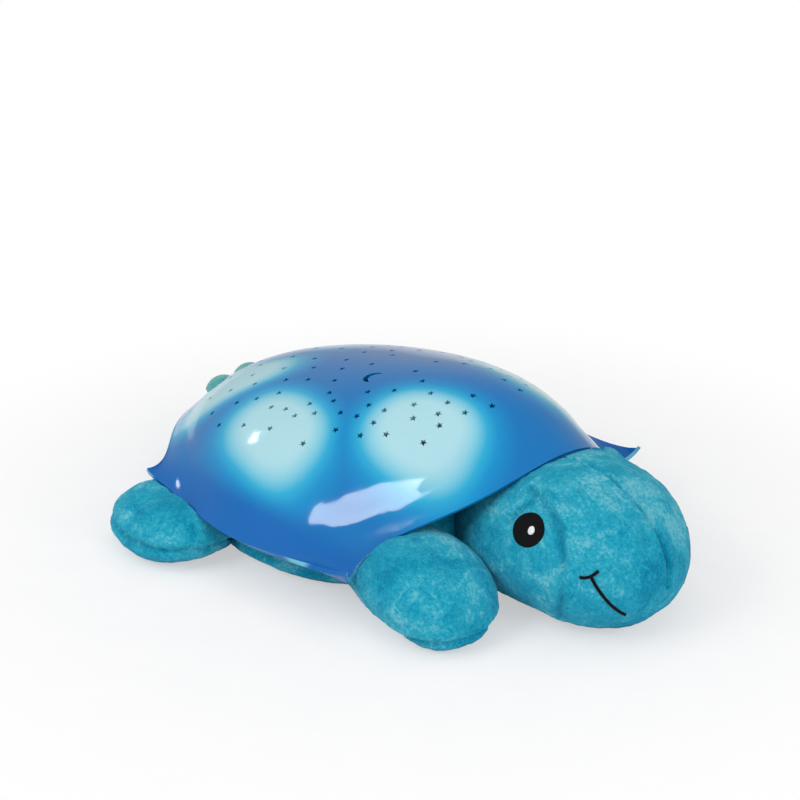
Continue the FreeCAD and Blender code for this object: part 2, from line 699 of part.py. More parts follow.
def screws():
    flip = Rotation(Vector(1, 0, 0), 180)
    shell_seat = TUB_FLOOR + size("recess_depth")
    screw_set("shell_screws", [Placement(Vector(x, y, shell_seat), flip) for x, y in POSTS],
              "Sizes.screw_head_radius", "Sizes.screw_head_height", "Sizes.screw_radius",
              "Sizes.post_foot + Sizes.screw_bite - Sizes.tub_floor_height - Sizes.recess_depth")
    screw_set("ring_screws", [Placement(Vector(spot.x, spot.y, RING_TOP), Rotation()) for spot in RING_SPOTS],
              "Sizes.ring_screw_head", "Sizes.small_head_height", "Sizes.ring_screw_radius",
              "2 * Sizes.flange_thickness + Sizes.lip_thickness + 2 * Sizes.seat_gap")
    board_top = size("lamp_board_height") + size("board_thickness")
    screw_set("lamp_board_screws", [Placement(Vector(x, y, board_top), Rotation()) for x, y in LAMP_POSTS],
              "Sizes.board_screw_head", "Sizes.small_head_height", "Sizes.board_screw_radius", "Sizes.board_screw_length")
    seats = []
    deep = -size("switch_depth") - size("switch_height")
    for side in (-1, 1):
        seats.append(BUTTON_FRAMES[0].multiply(
            Placement(Vector(0, side * size("key_screw_pitch") / 2, deep), Rotation())))
    screw_set("button_board_screws", seats, "Sizes.board_screw_head", "Sizes.small_head_height",
              "Sizes.board_screw_radius", "Sizes.board_screw_length")


def lamp():
    board = doc.addObject("PartDesign::Body", "LampBoard")
    disc = circle_sketch(board, "LampDisc", "Sizes.lamp_board_radius")
    pad(board, disc, "LampPlate", "Sizes.board_thickness")
    doc.recompute()
    hole = circle_sketch(board, "LampHole", "Sizes.board_screw_radius + 2 * Sizes.pilot_gap",
                         "Sizes.lamp_post_circle")
    first = drill(board, hole, "LampDrill")
    ring = board.newObject("PartDesign::PolarPattern", "LampHoles")
    ring.Originals = [first]
    ring.Axis = (disc, ["N_Axis"])
    ring.Angle = 360
    ring.Occurrences = 3
    board.Tip = ring
    board.Placement = Placement(Vector(LAMP_X, 0, size("lamp_board_height")), Rotation())
    bind(board, Placement__Base__x="Sizes.lamp_x", Placement__Base__z="Sizes.lamp_board_height")
    keep(board, "lamp_board")
    top = size("lamp_board_height") + size("board_thickness")
    for i, colour in enumerate(("blue", "green", "amber")):
        turn = math.radians(90 + 120 * i)
        can = primitive("Cylinder", "Led" + colour, Radius="Sizes.led_radius", Height="Sizes.led_height")
        dome = primitive("Sphere", "LedDome" + colour, Radius="Sizes.led_radius",
                         Placement__Base__z="Sizes.led_height")
        led = fuse("LedBody" + colour, [can, dome])
        led.Placement = Placement(Vector(LAMP_X + size("led_circle") * math.cos(turn),
                                         size("led_circle") * math.sin(turn), top), Rotation())
        keep(led, "led_" + colour)
    outside = primitive("Cone", "CupOutside", Radius1="Sizes.cup_radius + Sizes.cup_wall",
                        Radius2="Sizes.cup_mouth + Sizes.cup_wall", Height="Sizes.cup_height")
    inside = primitive("Cone", "CupInside", Radius1="Sizes.cup_radius", Radius2="Sizes.cup_mouth",
                       Height="Sizes.cup_height")
    cup = boolean("Cut", "Cup", outside, inside)
    cup.Placement = Placement(Vector(LAMP_X, 0, top), Rotation())
    keep(cup, "light_cup")
    chip = doc.addObject("PartDesign::Body", "TimerChip")
    pad(chip, box_sketch(chip, "ChipOutline", "Sizes.chip_length", "Sizes.chip_width"), "ChipBlock",
        "Sizes.chip_height")
    chip.Placement = Placement(Vector(LAMP_X - 1, -size("lamp_board_radius") + size("chip_width"), top),
                               Rotation())
    keep(chip, "timer_chip")


def button_group(side):
    """One button: the domed cap with its collar and stem, the switch under it and its plunger."""
    name = SIDES[side]
    frame = BUTTON_FRAMES[side]
    sink = SINK[side]
    collar_top = "-Sizes.collar_depth"
    wall = primitive("Cylinder", "CapWall" + name, Radius="Sizes.button_radius",
                     Height="Sizes.collar_depth + Sizes.cap_band", Placement__Base__z=collar_top)
    # The cap's top is a slice of a ball: its rise over the wall and its radius give the ball's.
    rise = "(Sizes.button_rise - Sizes.cap_band)"
    ball = "((Sizes.button_radius ^ 2 + " + rise + " ^ 2) / (2 * " + rise + "))"
    dome = primitive("Sphere", "CapDome" + name, Radius=ball,
                     Angle1="asin((" + ball + " - " + rise + ") / " + ball + ")",
                     Placement__Base__z="Sizes.cap_band + " + rise + " - " + ball)
    collar = primitive("Cylinder", "CapCollar" + name, Radius="Sizes.button_collar",
                       Height="Sizes.collar_thickness",
                       Placement__Base__z="-Sizes.collar_depth - Sizes.collar_thickness")
    reach = "Sizes.plunger_depth - Sizes.collar_depth - Sizes.collar_thickness - %.6f" % sink
    stem = primitive("Cylinder", "CapStem" + name, Radius="Sizes.stem_radius", Height=reach,
                     Placement__Base__z="-Sizes.plunger_depth + %.6f" % sink)
    cap = fuse("Cap" + name, [wall, dome, collar, stem])
    cap.Placement = frame
    keep(cap, "button_" + name)
    level = Placement(BUTTON_FRAMES[0].Base + Vector(0, side * size("button_pitch"), 0), BUTTON_TURN)
    plunger = primitive("Cylinder", "Plunger" + name, Radius="Sizes.plunger_radius",
                        Height="Sizes.plunger_length")
    plunger.Placement = level.multiply(
        Placement(Vector(0, 0, -size("plunger_depth") - size("plunger_length")), Rotation()))
    keep(plunger, "plunger_" + name)
    case = primitive("Box", "SwitchCase" + name, Length="Sizes.switch_side", Width="Sizes.switch_side",
                     Height="Sizes.switch_height", Placement__Base__x="-Sizes.switch_side / 2",
                     Placement__Base__y="-Sizes.switch_side / 2")
    well = primitive("Cylinder", "SwitchWell" + name, Radius="Sizes.plunger_radius + Sizes.plunger_gap",
                     Height="Sizes.switch_height",
                     Placement__Base__z="Sizes.switch_height - Sizes.plunger_length - Sizes.press_travel"
                                        " + Sizes.switch_depth - Sizes.plunger_depth - Sizes.press_room")
    switch = boolean("Cut", "Switch" + name, case, well)
    switch.Placement = level.multiply(
        Placement(Vector(0, 0, -size("switch_depth") - size("switch_height")), Rotation()))
    keep(switch, "switch_" + name)


def button_board():
    board = doc.addObject("PartDesign::Body", "ButtonBoard")
    outline = box_sketch(board, "BoardOutline", "Sizes.key_board_width", "Sizes.key_board_length")
    pad(board, outline, "BoardPlate", "Sizes.board_thickness")
    doc.recompute()
    for side, name in ((-1, "Right"), (1, "Left")):
        sketch = new_sketch(board, "BoardHole" + name)
        sketch.addGeometry(Part.Circle(Vector(0, side * 5, 0), UP, 1), False)
        sketch.addConstraint(Sketcher.Constraint("PointOnObject", 0, 3, -2))
        far = sketch.addConstraint(Sketcher.Constraint("DistanceY", -1, 1, 0, 3, side * 5))
        sketch.setExpression("Constraints[%d]" % far, "%d * Sizes.key_screw_pitch / 2" % side)
        wide = sketch.addConstraint(Sketcher.Constraint("Radius", 0, 1))
        sketch.setExpression("Constraints[%d]" % wide, "Sizes.board_screw_radius + 2 * Sizes.pilot_gap")
        drill(board, sketch, "BoardDrill" + name)
    low = -size("switch_depth") - size("switch_height") - size("board_thickness")
    board.Placement = BUTTON_FRAMES[0].multiply(Placement(Vector(0, 0, low), Rotation()))
    keep(board, "button_board")


def ribbon_cable():
    """The flat cable from the button board over the battery bay to the lamp board."""
    half = size("cable_width") / 2
    thick = size("cable_thickness")
    gap = size("cable_gap")
    board_low = -size("switch_depth") - size("switch_height") - size("board_thickness")
    start = BUTTON_FRAMES[0].multVec(Vector(size("key_board_width") / 3, 0, board_low - 2 * gap))
    over_bay = BAY_TOP + size("bay_wall") + 2 * gap + thick
    lamp_rear = LAMP_X - size("lamp_board_radius")
    top = [start - Vector(0, 0, 4 * gap), Vector(BAY_REAR - 8, 0, over_bay + 1),
           Vector(BAY_REAR + 4, 0, over_bay), Vector(BAY_FRONT - 3, 0, over_bay),
           Vector(lamp_rear + 2, 0, size("lamp_board_height") - gap)]
    low = [point - Vector(0, 0, thick) for point in reversed(top)]
    outline = [point - Vector(0, half, 0) for point in top + low]
    strip = Part.Face(Part.makePolygon(outline + outline[:1])).extrude(Vector(0, 2 * half, 0))
    return feature("ribbon_cable", strip)


def battery_set():
    middle_z = DOOR_TOP + size("soft_gap") + size("cell_radius")
    rear_plate = BAY_REAR + size("contact_thickness")
    springs = []
    plates = []
    for side, name in SIDES.items():
        turn = Rotation(Vector(0, 1, 0), 90)
        can = primitive("Cylinder", "Can" + name, Radius="Sizes.cell_radius", Height="Sizes.cell_length")
        nub = primitive("Cylinder", "Nub" + name, Radius="Sizes.nub_radius", Height="Sizes.nub_height",
                        Placement__Base__z="Sizes.cell_length")
        cell = fuse("Cell" + name, [can, nub])
        flipped = side == 0
        start = rear_plate + (0 if flipped else size("spring_length"))
        if flipped:
            start += size("nub_height") + size("cell_length")
            turn = Rotation(Vector(0, 1, 0), -90)
        cell.Placement = Placement(Vector(start, side * CELL_PITCH, middle_z), turn)
        keep(cell, "battery_" + name)
        foot = primitive("Cone", "SpringOut" + name, Radius1="Sizes.spring_foot", Radius2="Sizes.spring_tip",
                         Height="Sizes.spring_length")
        hollow = primitive("Cone", "SpringIn" + name, Radius1="Sizes.spring_foot - Sizes.spring_wire",
                           Radius2="Sizes.spring_tip - Sizes.spring_wire", Height="Sizes.spring_length")
        spring = boolean("Cut", "Spring" + name, foot, hollow)
        spring_x = BAY_FRONT - size("contact_thickness") if flipped else rear_plate
        spring.Placement = Placement(Vector(spring_x, side * CELL_PITCH, middle_z), turn)
        springs.append(spring)
        for end, x in (("Rear", BAY_REAR), ("Front", BAY_FRONT - size("contact_thickness"))):
            plate = primitive("Box", "Plate" + end + name, Length="Sizes.contact_thickness",
                              Width="Sizes.plate_share * Sizes.cell_radius",
                              Height="Sizes.plate_share * Sizes.cell_radius")
            shift = size("plate_share") / 2 * size("cell_radius")
            plate.Placement = Placement(Vector(x, side * CELL_PITCH - shift, middle_z - shift), Rotation())
            plates.append(plate)
    keep(group("ContactSprings", springs), "contact_springs")
    keep(group("ContactPlates", plates), "contact_plates")


def battery_door():
    """The door with its two hinge pins and the hole for its captive screw."""
    plate = block((DOOR_REAR, -DOOR_HALF, DOOR_LOW), (DOOR_FRONT, DOOR_HALF, DOOR_TOP))
    corners = [edge for edge in plate.Edges
               if abs(edge.Vertexes[0].Z - edge.Vertexes[-1].Z) > 1 and edge.Vertexes[0].X > BAY_FRONT]
    plate = plate.makeFillet(size("door_corner"), corners)
    reach = EAR_IN + size("trunnion_length")
    barrel = Part.makeCylinder(size("trunnion_radius"), 2 * reach, Vector(AXIS_X, -reach, AXIS_Z),
                               Vector(0, 1, 0))
    door = plate.fuse(barrel)
    ribs = []
    for i in range(5):
        start = BAY_REAR + size("rib_pitch") * (2 + i)
        ribs.append(block((start, -size("rib_length") / 2, DOOR_LOW - size("rib_height")),
                          (start + size("rib_width"), size("rib_length") / 2, DOOR_LOW)))
    door = door.fuse(ribs)
    hole = cylinder(size("door_screw_radius") + size("pilot_gap"), 0, FAR, DOOR_SCREW_X)
    feature("battery_door", largest(door.cut(hole)))
    screw_set("door_screw", [Placement(Vector(DOOR_SCREW_X, 0, DOOR_LOW), Rotation(Vector(1, 0, 0), 180))],
              "Sizes.door_screw_head", "Sizes.small_head_height", "Sizes.door_screw_radius",
              "Sizes.door_screw_length + Sizes.door_thickness")


FLAP_REAR = size("flap_rear")
FLAP_FRONT = FLAP_REAR + size("flap_length")
FLAP_TOP = size("flap_height") + size("flap_thickness")
STRIP_FRONT = FLAP_FRONT - size("strip_inset")
STRIP_REAR = STRIP_FRONT - size("strip_length")
STRIP_HALF = size("strip_width") / 2


def belly_flap():
    """The fabric flap with its strip of hooks, and the strip of loops on the belly over it."""
    flap = primitive("Box", "FlapPanel", Length="Sizes.flap_length", Width="Sizes.flap_width",
                     Height="Sizes.flap_thickness", Placement__Base__x="Sizes.flap_rear",
                     Placement__Base__y="-Sizes.flap_width / 2", Placement__Base__z="Sizes.flap_height")
    doc.recompute()
    rounded = doc.addObject("Part::Fillet", "FlapRounded")
    rounded.Base = flap
    free = [i for i, edge in enumerate(flap.Shape.Edges, 1)
            if abs(edge.Vertexes[0].Z - edge.Vertexes[-1].Z) > 1 and edge.Vertexes[0].X > FLAP_FRONT - 1]
    rounded.Edges = [(i, size("flap_corner"), size("flap_corner")) for i in free]
    keep(rounded, "belly_flap")
    loop_low = FLAP_TOP + size("strip_thickness") + size("soft_gap")
    for label, low in (("hook_strip", FLAP_TOP), ("loop_strip", loop_low)):
        strip = primitive("Box", label + "_pad", Length="Sizes.strip_length", Width="Sizes.strip_width",
                          Height="Sizes.strip_thickness")
        strip.Placement = Placement(Vector(STRIP_REAR, -STRIP_HALF, low), Rotation())
        keep(strip, label)


# Stuffed pieces: each is a loft through closed outlines of arcs, cut by the pieces it leans on.

def ring_of_arcs(points):
    """A closed outline of arcs, each through three points in a row."""
    arcs = []
    for i in range(0, len(points), 2):
        arcs.append(Part.Arc(points[i], points[i + 1], points[(i + 2) % len(points)]).toShape())
    return Part.Wire(arcs)


def soft_section(centre, across, half_width, low, high, middle, fullness=0.73):
    """An upright oval outline: flat side to side as across says, low and high as heights."""
    points = []
    for i in range(8):
        side = (1, fullness, 0, -fullness, -1, -fullness, 0, fullness)[i]
        rise = (0, fullness, 1, fullness, 0, -fullness, -1, -fullness)[i]
        height = middle + rise * ((high - middle) if rise > 0 else (middle - low))
        spot = centre + across * (side * half_width)
        points.append(Vector(spot.x, spot.y, height))
    return ring_of_arcs(points)


def above_ground(shape):
    """The smooth outlines sag a little below their lowest points, and a stuffed piece lies flat there."""
    return shape.common(block((-FAR, -FAR, 0), (FAR, FAR, FAR)))


def soft_form(start, end, stations):
    """A stuffed limb: a loft from start to end through ovals given as shares of the way."""
    way = end - start
    across = Vector(-way.y, way.x, 0).normalize()
    outlines = []
    for share, half_width, low, high, middle in stations:
        outlines.append(soft_section(start + way * share, across, half_width, low, high, middle))
    return above_ground(Part.makeLoft(outlines, True, False))


HEAD_STATIONS = [
    (0.00, 35, 2.0, 54, 26), (0.18, 43, 0.3, 65, 27), (0.38, 47, 0.3, 70, 29), (0.58, 47.5, 0.3, 70, 30),
    (0.76, 42.5, 1.2, 64, 29), (0.90, 31, 6.5, 54, 28), (0.975, 18, 14.0, 43, 28), (1.00, 6, 23.0, 35, 29),
]
FRONT_FLIPPER_STATIONS = [
    (0.00, 18, 2.0, 30, 15), (0.30, 25, 0.3, 38, 17), (0.58, 29, 0.3, 41, 18), (0.82, 27, 0.3, 36, 16),
    (0.95, 18, 3.0, 26, 14), (1.00, 6, 9.0, 18, 13),
]
REAR_FLIPPER_STATIONS = [
    (0.00, 26, 3.0, 24, 13), (0.28, 32, 0.3, 27, 13), (0.55, 37, 0.3, 29, 14), (0.80, 34, 0.3, 28, 13),
    (0.94, 23, 3.0, 22, 12), (1.00, 9, 7.0, 16, 11),
]
# Where each limb starts under the shell and ends outside it: X, and Y away from the middle. The
# stuffed limbs hang loosely, and the left front one is tucked further back than the right one.
LIMBS = {
    "front_flipper_right": (-1, (28, 54), (131, 78), FRONT_FLIPPER_STATIONS),
    "front_flipper_left": (1, (8, 56), (94, 80), FRONT_FLIPPER_STATIONS),
    "rear_flipper_right": (-1, (-49, 60), (-54, 136), REAR_FLIPPER_STATIONS),
    "rear_flipper_left": (1, (-49, 60), (-60, 134), REAR_FLIPPER_STATIONS),
}
TAIL_STATIONS = [
    (0.00, 13, 4.0, 20, 12), (0.45, 10, 2.0, 17, 10), (0.80, 6, 3.0, 13, 8), (1.00, 2, 5.5, 9, 7),
]


def body_section(share, height):
    """A level oval outline of the stuffed body, as a share of its full outline."""
    half_length = size("body_length") / 2 * share
    half_width = size("body_width") / 2 - size("body_length") / 2 * (1 - share)
    front = size("front_fullness")
    rear = size("rear_fullness")
    points = []
    for i in range(8):
        ahead = (1, front, 0, -rear, -1, -rear, 0, front)[i]
        aside = (0, front, 1, rear, 0, -rear, -1, -front)[i]
        points.append(Vector(size("body_x") + half_length * ahead, half_width * aside, height))
    return ring_of_arcs(points)


def belly_opening():
    """The opening under the battery door, the recess of the flap and the pocket of its strips."""
    gap = size("flap_clearance")
    half = size("flap_width") / 2 + gap
    loop_top = FLAP_TOP + 2 * size("strip_thickness") + size("soft_gap")
    ear_out = EAR_IN + size("ear_thickness") + 1
    pieces = [block((FLAP_REAR - gap, -half, -1), (FLAP_FRONT + gap, half, FLAP_TOP + 0.2))]
    pieces.append(block((AXIS_X - 4, -ear_out, -1), (DOOR_FRONT + size("opening_room"), ear_out, TUB_FLOOR + 1)))
    pieces.append(block((STRIP_REAR - 1, -STRIP_HALF - 1, -1),
                        (STRIP_FRONT + 1, STRIP_HALF + 1, loop_top + size("soft_gap"))))
    return pieces


def plush_body(over):
    levels = [(0.86, 0), (0.95, 3), (0.99, 10), (1.00, 22), (0.96, 34), (0.86, 44), (0.70, 52)]
    body = Part.makeLoft([body_section(share, height) for share, height in levels], True, False)
    gap = size("soft_gap")
    room = [oval(gap, TUB_FLOOR - gap, FAR)]
    room.append(oval(size("flange_width") + gap, size("flange_height") - gap, FLANGE_TOP + size("seat_gap")))
    room.append(oval(size("flange_width") + gap, LIP_TOP - size("seat_gap"), FAR))
    for spot in RING_SPOTS:
        room.append(cylinder(size("ring_screw_radius") + 0.3, size("flange_height") - gap, FAR, spot.x, spot.y))
    for x, y in POSTS:
        room.append(cylinder(size("screw_head_radius"), TUB_FLOOR - gap, TUB_FLOOR, x, y))
    body = above_ground(body).cut(over).cut(Part.makeCompound(room + belly_opening() + button_room()))
    return largest(body)


def plush():
    over = over_shell(WALL + size("shell_gap"), size("rim_gap"))
    tub_space = oval(size("flange_width") + size("soft_gap"), 0, FAR)
    body = plush_body(over)
    feature("plush_body", body)
    head = soft_form(Vector(76, 0, 0), Vector(181.5, 0, 0), HEAD_STATIONS)
    head = largest(head.cut(over).cut(body).cut(tub_space))
    feature("plush_head", head)
    for name, (side, start, end, stations) in LIMBS.items():
        limb = soft_form(Vector(start[0], side * start[1], 0), Vector(end[0], side * end[1], 0), stations)
        feature(name, largest(limb.cut(over).cut(body).cut(head).cut(tub_space)))
    tail = soft_form(Vector(-145, 0, 0), Vector(-176, 0, 0), TAIL_STATIONS)
    feature("tail", largest(tail.cut(over).cut(body)))


shell_cover()
base_tub()
clamp_ring()
lamp()
button_board()
for side in SIDES:
    button_group(side)
ribbon_cable()
battery_set()
battery_door()
screws()
belly_flap()
plush()
doc.recompute()

for thing in doc.Objects:
    if "Invalid" in thing.State or "Error" in thing.State:
        raise ValueError("%s: %s" % (thing.Label, thing.State))
for thing in SUBPARTS:
    if thing.Shape.isNull() or not thing.Shape.isValid():
        raise ValueError(thing.Label + " has no valid shape")

os.makedirs("parts", exist_ok=True)
for thing in SUBPARTS:
    thing.Shape.exportStep("parts/%s.step" % thing.Label)
    print("%-22s solids %d volume %10.1f" % (thing.Label, len(thing.Shape.Solids), thing.Shape.Volume))
print("sub-parts", len(SUBPARTS))
print("button axis", [round(value, 6) for value in BUTTON_NORMAL], "tilt", round(BUTTON_TILT, 3))
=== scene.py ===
import math

import bpy
import numpy as np
from mathutils import Matrix, Vector, noise
from mathutils.bvhtree import BVHTree


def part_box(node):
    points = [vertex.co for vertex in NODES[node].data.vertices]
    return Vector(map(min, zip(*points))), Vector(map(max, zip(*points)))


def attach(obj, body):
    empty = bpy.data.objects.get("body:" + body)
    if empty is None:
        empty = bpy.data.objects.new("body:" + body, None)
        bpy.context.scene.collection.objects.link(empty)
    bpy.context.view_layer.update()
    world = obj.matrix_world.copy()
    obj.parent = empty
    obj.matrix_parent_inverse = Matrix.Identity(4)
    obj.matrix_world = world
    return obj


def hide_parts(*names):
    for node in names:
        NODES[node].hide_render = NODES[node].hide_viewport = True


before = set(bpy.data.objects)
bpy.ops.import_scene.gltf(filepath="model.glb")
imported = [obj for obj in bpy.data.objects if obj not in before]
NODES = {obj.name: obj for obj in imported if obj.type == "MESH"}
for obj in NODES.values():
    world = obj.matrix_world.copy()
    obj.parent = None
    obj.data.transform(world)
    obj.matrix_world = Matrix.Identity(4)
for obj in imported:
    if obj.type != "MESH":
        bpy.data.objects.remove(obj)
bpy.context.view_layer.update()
MM = 0.001
ROOT = "turtle"
SIDES = ("right", "middle", "left")


def add_object(name, data):
    thing = bpy.data.objects.new(name, data)
    bpy.context.scene.collection.objects.link(thing)
    return thing


# Camera at the photograph's viewing angle.

VIEW_RIGHT = Vector((0.6862, 0.7274, 0)).normalized()
VIEW_AHEAD = Vector((-0.6746, 0.6364, -0.3741)).normalized()
VIEW_UP = VIEW_RIGHT.cross(VIEW_AHEAD)
VIEW_FROM = Vector((0.6010, -0.5642, 0.3980))
FOCUS = 76.5
SENSOR = 36
PICTURE = 800

camera = add_object("camera", bpy.data.cameras.new("camera"))
camera.data.lens = FOCUS
camera.data.sensor_width = SENSOR
camera.data.clip_start = 0.01
turn = Matrix((VIEW_RIGHT, VIEW_UP, -VIEW_AHEAD)).transposed().to_4x4()
camera.matrix_world = Matrix.Translation(VIEW_FROM) @ turn
bpy.context.scene.camera = camera
bpy.context.scene.view_settings.view_transform = "Standard"


def ray_through(x, y):
    """The direction from the camera through a point of the picture, which is 800 pixels wide and high."""
    spread = SENSOR / FOCUS / PICTURE
    right = (x - PICTURE / 2) * spread
    up = (PICTURE / 2 - y) * spread
    return (VIEW_AHEAD + VIEW_RIGHT * right + VIEW_UP * up).normalized()


def linear(red, green, blue):
    """The shader's value of a colour that is given in 0 to 255 as the eye sees it."""
    shares = [value / 255 for value in (red, green, blue)]
    return tuple(v / 12.92 if v <= 0.04045 else ((v + 0.055) / 1.055) ** 2.4 for v in shares) + (1.0,)


# Lights and world. Lengths are in metres and powers in watts.

WHITE_LIGHT = (1, 1, 1, 1)
WORLD_STRENGTH = 0.42


def area_light(name, place, aim, wide, high, power, mirrored_by_gloss):
    light = bpy.data.lights.new(name, "AREA")
    light.shape = "RECTANGLE"
    light.size = wide
    light.size_y = high
    light.energy = power
    thing = add_object(name, light)
    way = Vector(aim) - Vector(place)
    thing.location = place
    thing.rotation_euler = way.to_track_quat("-Z", "Y").to_euler()
    thing.visible_glossy = mirrored_by_gloss


area_light("key", (-0.45, -0.95, 1.15), (0, 0, 0.03), 0.75, 0.75, 5.0, False)
area_light("fill", (1.15, -0.1, 0.55), (0, 0, 0.03), 0.8, 0.8, 4.0, False)
area_light("overhead", (0.0, 0.1, 1.5), (0, 0, 0), 1.3, 1.3, 4.0, False)
# Two small softboxes that the shell mirrors: a wide one over its near side and one behind it.
area_light("window", (0.03, -1.0, 0.83), (0.03, -0.075, 0.055), 0.30, 0.24, 2.2, True)
area_light("spot", (-1.05, -0.20, 0.72), (-0.06, -0.03, 0.06), 0.12, 0.07, 0.25, True)


def white_world():
    """Soft white light from all round, which the camera and what shines through see as plain white."""
    world = bpy.data.worlds.new("world")
    bpy.context.scene.world = world
    world.use_nodes = True
    nodes = world.node_tree.nodes
    link = world.node_tree.links.new
    nodes.clear()

    def background(strength):
        thing = nodes.new("ShaderNodeBackground")
        thing.inputs["Color"].default_value = WHITE_LIGHT
        thing.inputs["Strength"].default_value = strength
        return thing.outputs[0]

    rays = nodes.new("ShaderNodeLightPath")
    straight = nodes.new("ShaderNodeMath")
    straight.operation = "MAXIMUM"
    link(rays.outputs["Is Camera Ray"], straight.inputs[0])
    link(rays.outputs["Is Transmission Ray"], straight.inputs[1])
    choose = nodes.new("ShaderNodeMixShader")
    link(straight.outputs[0], choose.inputs["Fac"])
    link(background(WORLD_STRENGTH), choose.inputs[1])
    link(background(1), choose.inputs[2])
    link(choose.outputs[0], nodes.new("ShaderNodeOutputWorld").inputs["Surface"])


white_world()


class Look:
    """A procedural material: a Principled shader and short calls for the nodes in front of it."""

    def __init__(self, name, **values):
        self.material = bpy.data.materials.new(name)
        self.material.use_nodes = True
        self.tree = self.material.node_tree
        self.shader = self.tree.nodes["Principled BSDF"]
        self.place = self.node("TexCoord").outputs["Object"]
        for key, value in values.items():
            self.shader.inputs[key.replace("_", " ")].default_value = value

    def feed(self, **sources):
        for key, source in sources.items():
            self.tree.links.new(source, self.shader.inputs[key.replace("_", " ")])

    def node(self, kind, **settings):
        thing = self.tree.nodes.new("ShaderNode" + kind)
        for key, value in settings.items():
            setattr(thing, key, value)
        return thing

    def give(self, thing, socket, value):
        if isinstance(value, bpy.types.NodeSocket):
            self.tree.links.new(value, thing.inputs[socket])
        else:
            thing.inputs[socket].default_value = value

    def stretched(self, stretch):
        change = self.node("Mapping")
        self.give(change, "Vector", self.place)
        self.give(change, "Scale", stretch)
        return change.outputs[0]

    def axes(self, vector=None):
        split = self.node("SeparateXYZ")
        self.give(split, 0, vector or self.place)
        return split.outputs

    def noise(self, scale, detail=3.0, rough=0.55, stretch=None, warp=0.0):
        thing = self.node("TexNoise")
        self.give(thing, "Vector", self.stretched(stretch) if stretch else self.place)
        self.give(thing, "Scale", scale)
        self.give(thing, "Detail", detail)
        self.give(thing, "Roughness", rough)
        self.give(thing, "Distortion", warp)
        return thing.outputs["Fac"]

    def cell_edges(self, scale):
        thing = self.node("TexVoronoi", feature="DISTANCE_TO_EDGE")
        self.give(thing, "Vector", self.place)
        self.give(thing, "Scale", scale)
        return thing.outputs["Distance"]

    def waves(self, scale, axis, warp):
        thing = self.node("TexWave", bands_direction=axis)
        self.give(thing, "Vector", self.place)
        self.give(thing, "Scale", scale)
        self.give(thing, "Distortion", warp)
        return thing.outputs["Fac"]

    def math(self, operation, one, two=0.0, clamp=False):
        thing = self.node("Math", operation=operation, use_clamp=clamp)
        self.give(thing, 0, one)
        self.give(thing, 1, two)
        return thing.outputs[0]

    def plus(self, one, two):
        return self.math("ADD", one, two)

    def times(self, one, two):
        return self.math("MULTIPLY", one, two)

    def weighed(self, one, weight_one, two, weight_two, clamp=False):
        """The sum of two values, each times its weight."""
        return self.math("ADD", self.times(one, weight_one), self.times(two, weight_two), clamp)

    def span(self, value, low, high, start=0.0, end=1.0):
        """A smooth step from start to end as the value goes from low to high."""
        thing = self.node("MapRange", interpolation_type="SMOOTHSTEP")
        self.give(thing, "Value", value)
        self.give(thing, "From Min", low)
        self.give(thing, "From Max", high)
        self.give(thing, "To Min", start)
        self.give(thing, "To Max", end)
        return thing.outputs[0]

    def ramp(self, value, *stops):
        thing = self.node("ValToRGB")
        band = thing.color_ramp
        while len(band.elements) < len(stops):
            band.elements.new(0.5)
        for element, (place, colour) in zip(band.elements, stops):
            element.position = place
            element.color = colour
        self.give(thing, "Fac", value)
        return thing.outputs["Color"]

    def mix(self, share, one, two):
        """One colour over another. The numbers are the places of the colour sockets on the node."""
        thing = self.node("Mix", data_type="RGBA")
        self.give(thing, 0, share)
        self.give(thing, 6, one)
        self.give(thing, 7, two)
        return thing.outputs[2]

    def mix_shaders(self, share, one, two):
        thing = self.node("MixShader")
        self.give(thing, 0, share)
        self.give(thing, 1, one)
        self.give(thing, 2, two)
        return thing.outputs[0]

    def bump(self, height, strength, depth, below=None):
        thing = self.node("Bump")
        self.give(thing, "Height", height)
        self.give(thing, "Strength", strength)
        self.give(thing, "Distance", depth)
        if below is not None:
            self.give(thing, "Normal", below)
        return thing.outputs["Normal"]


def wear(thing, look):
    """Give a piece, or a CAD node by its name, one material."""
    thing = NODES[thing] if isinstance(thing, str) else thing
    thing.data.materials.clear()
    thing.data.materials.append(look.material)


# Floor, in metres. The camera sees it mixed with plain white: by half under the object, where the shadow
# lies, and wholly from where the fade ends.

FLOOR_EDGE = 1.6
FADE_STARTS = 0.12
FADE_ENDS = 0.34
FADE_UNDER_OBJECT = 0.5


def floor_look():
    """White that, as the camera sees it, fades away from the object into the plain white background."""
    look = Look("floor_white", Roughness=0.6, Specular_IOR_Level=0.1)
    pale = linear(247, 248, 250)
    look.feed(Base_Color=look.ramp(look.noise(40, 2), (0.3, pale), (0.7, linear(252, 252, 253))))
    x, y, _ = look.axes()
    away = look.math("SQRT", look.weighed(x, x, y, y))
    seen_by_camera = look.node("LightPath").outputs["Is Camera Ray"]
    fade = look.times(look.span(away, FADE_STARTS, FADE_ENDS, FADE_UNDER_OBJECT, 1.0), seen_by_camera)
    white = look.node("Emission")
    look.give(white, "Color", WHITE_LIGHT)
    from_above = look.mix_shaders(fade, look.shader.outputs[0], white.outputs[0])
    # From below the floor is clear, so that it doesn't hide the belly in the views from there.
    from_below = look.node("BsdfTransparent").outputs[0]
    surface = look.mix_shaders(look.node("NewGeometry").outputs["Backfacing"], from_above, from_below)
    look.tree.links.new(surface, look.tree.nodes["Material Output"].inputs["Surface"])
    return look


